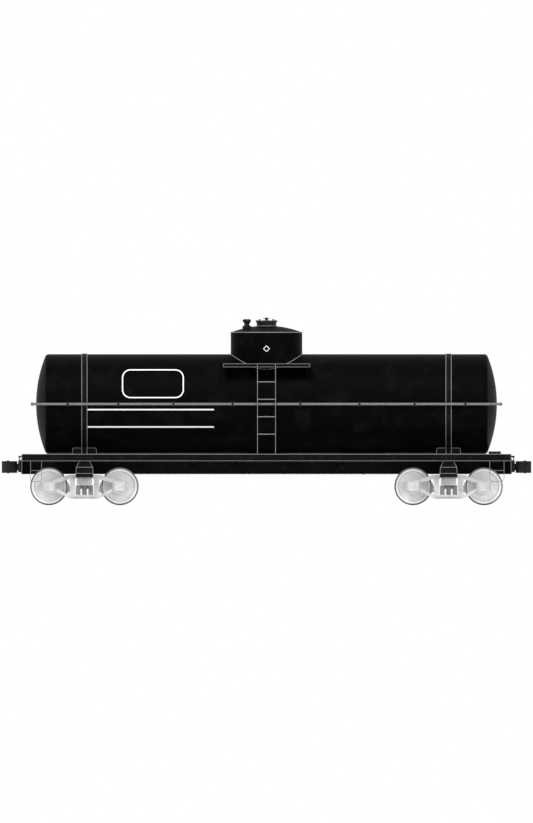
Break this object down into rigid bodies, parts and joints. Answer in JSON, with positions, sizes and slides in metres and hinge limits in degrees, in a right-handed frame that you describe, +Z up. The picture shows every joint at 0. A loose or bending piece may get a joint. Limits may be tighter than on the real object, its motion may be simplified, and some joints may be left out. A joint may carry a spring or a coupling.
{
  "type": "railway tank car",
  "caption": "Railway tank car with a dished cylindrical tank, an expansion dome, ladders and platforms, on a channel underframe and two four-wheel trucks.",
  "frame": {"origin": "midway along and across the car, at the lowest point of the wheel flanges", "axes": "+X along the car to the end with the raised step, +Z up"},
  "size_m": [12.512, 2.844, 4.4399],
  "materials": {
    "tank_black": "satin black paint",
    "frame_black": "matt black paint",
    "grey_paint": "worn grey paint",
    "cast_steel": "rough cast steel, dark",
    "wheel_steel": "pale grey wrought steel",
    "stencil_white": "white stencil paint",
    "plank_black": "planks painted black, worn",
    "spring_steel": "dull spring steel",
    "axle_steel": "turned steel"
  },
  "bodies": {
    "car_body": {"tank_barrel": "tank_black", "tank_heads": "tank_black", "tank_bands": "frame_black", "tank_saddles": "frame_black", "tank_anchor": "frame_black", "dome_ring": "tank_black", "dome_head": "tank_black", "manway_neck": "frame_black", "safety_valve": "cast_steel", "dome_platforms": "frame_black", "ladders": "grey_paint", "handrail": "grey_paint", "handrail_brackets": "frame_black", "centre_sill": "frame_black", "side_channels": "frame_black", "running_boards": "plank_black", "board_brackets": "frame_black", "end_sills": "frame_black", "end_platforms": "plank_black", "brake_platform": "plank_black", "body_bolsters": "frame_black", "centre_plates": "cast_steel", "side_bearings": "frame_black", "strikers": "cast_steel", "coupler_a": "cast_steel", "coupler_b": "cast_steel", "uncoupling_levers": "frame_black", "sill_steps": "grey_paint", "grab_irons": "grey_paint", "air_reservoir": "frame_black", "brake_cylinder": "frame_black", "brake_valve": "frame_black", "brake_rods": "frame_black", "bottom_outlet": "frame_black", "heater_pipes": "frame_black"},
    "truck_a": {"truck_a_side_frames": "cast_steel", "truck_a_bolster": "cast_steel", "truck_a_springs": "spring_steel", "truck_a_brake_beams": "cast_steel", "truck_a_box_lids": "cast_steel"},
    "truck_b": {"truck_b_side_frames": "cast_steel", "truck_b_bolster": "cast_steel", "truck_b_springs": "spring_steel", "truck_b_brake_beams": "cast_steel", "truck_b_box_lids": "cast_steel"},
    "wheelset_a1": {"wheels_a1": "wheel_steel", "axle_a1": "axle_steel"},
    "wheelset_a2": {"wheels_a2": "wheel_steel", "axle_a2": "axle_steel"},
    "wheelset_b1": {"wheels_b1": "wheel_steel", "axle_b1": "axle_steel"},
    "wheelset_b2": {"wheels_b2": "wheel_steel", "axle_b2": "axle_steel"},
    "cover": {"manway_cover": "frame_black"},
    "jaw_a": {"knuckle_a": "cast_steel"},
    "jaw_b": {"knuckle_b": "cast_steel"}
  },
  "joints": [
    {"name": "truck_a_swivel", "type": "hinge", "parent": "car_body", "child": "truck_a", "pos_m": [-4.303, 0, 0.68], "axis": [0, 0, 1], "range_deg": [-8, 8]},
    {"name": "wheelset_a1_spin", "type": "hinge", "parent": "truck_a", "child": "wheelset_a1", "pos_m": [-5.141, 0, 0.444], "axis": [0, 1, 0], "continuous": true},
    {"name": "wheelset_a2_spin", "type": "hinge", "parent": "truck_a", "child": "wheelset_a2", "pos_m": [-3.465, 0, 0.444], "axis": [0, 1, 0], "continuous": true},
    {"name": "truck_b_swivel", "type": "hinge", "parent": "car_body", "child": "truck_b", "pos_m": [4.303, 0, 0.68], "axis": [0, 0, 1], "range_deg": [-8, 8]},
    {"name": "wheelset_b1_spin", "type": "hinge", "parent": "truck_b", "child": "wheelset_b1", "pos_m": [5.141, 0, 0.444], "axis": [0, 1, 0], "continuous": true},
    {"name": "wheelset_b2_spin", "type": "hinge", "parent": "truck_b", "child": "wheelset_b2", "pos_m": [3.465, 0, 0.444], "axis": [0, 1, 0], "continuous": true},
    {"name": "cover_hinge", "type": "hinge", "parent": "car_body", "child": "cover", "pos_m": [0, 0.2825, 4.344], "axis": [-1, 0, 0], "range_deg": [0, 110]},
    {"name": "jaw_a_swing", "type": "hinge", "parent": "car_body", "child": "jaw_a", "pos_m": [-6.108, -0.122, 0.902], "axis": [0, 0, 1], "range_deg": [0, 45]},
    {"name": "jaw_b_swing", "type": "hinge", "parent": "car_body", "child": "jaw_b", "pos_m": [6.108, 0.122, 0.902], "axis": [0, 0, 1], "range_deg": [0, 45]}
  ]
}
